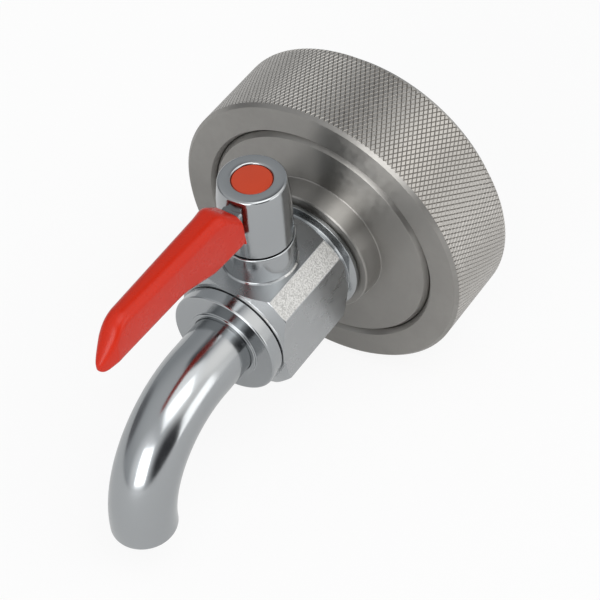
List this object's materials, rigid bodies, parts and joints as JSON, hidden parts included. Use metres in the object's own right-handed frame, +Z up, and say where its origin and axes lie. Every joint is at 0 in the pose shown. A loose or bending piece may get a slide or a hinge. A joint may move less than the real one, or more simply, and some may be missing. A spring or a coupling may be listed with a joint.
{
  "type": "drum tap",
  "caption": "Tap for a drum's threaded neck: knurled ring nut over a flanged disc, quarter-turn ball valve with a lever on top, and a round spout bent downwards.",
  "frame": {"origin": "on the flow axis, in the plane where the rim of the drum's neck meets the rear face of the neck gasket", "axes": "+X along the flow axis from the drum to the spout, +Y to the left seen from behind the tap and looking along +X, +Z up along the valve's stem; the spout's end points to -Z"},
  "size_m": [0.1039, 0.074, 0.0776],
  "materials": {
    "stainless": "turned",
    "chrome": "polished",
    "satin": "satin, with blasted corner faces",
    "brass": "machined",
    "steel": "plated",
    "red": "glossy soft vinyl",
    "orange": "satin",
    "white": "waxy",
    "rubber": "matte"
  },
  "bodies": {
    "tap_body": {"flange_disc": "stainless", "neck_gasket": "rubber", "body_seal": "white", "valve_body": "satin", "seat_rear": "white", "seat_front": "white", "thrust_washer": "white", "spout_collar": "chrome", "collar_seal": "rubber", "spout_tube": "chrome"},
    "ring": {"ring_nut": "stainless"},
    "lever": {"lever_hub": "chrome", "lever_grip": "red", "indicator_cap": "orange", "hub_screw": "steel", "lock_washer": "steel", "stem": "brass", "stem_seal_lower": "rubber", "stem_seal_upper": "rubber", "ball": "chrome"}
  },
  "joints": [
    {"name": "ring_turn", "type": "hinge", "parent": "tap_body", "child": "ring", "pos_m": [0, 0, 0], "axis": [1, 0, 0], "continuous": true},
    {"name": "lever_turn", "type": "hinge", "parent": "tap_body", "child": "lever", "pos_m": [0.03115, 0, 0], "axis": [0, 0, 1], "range_deg": [-90, 0]}
  ]
}
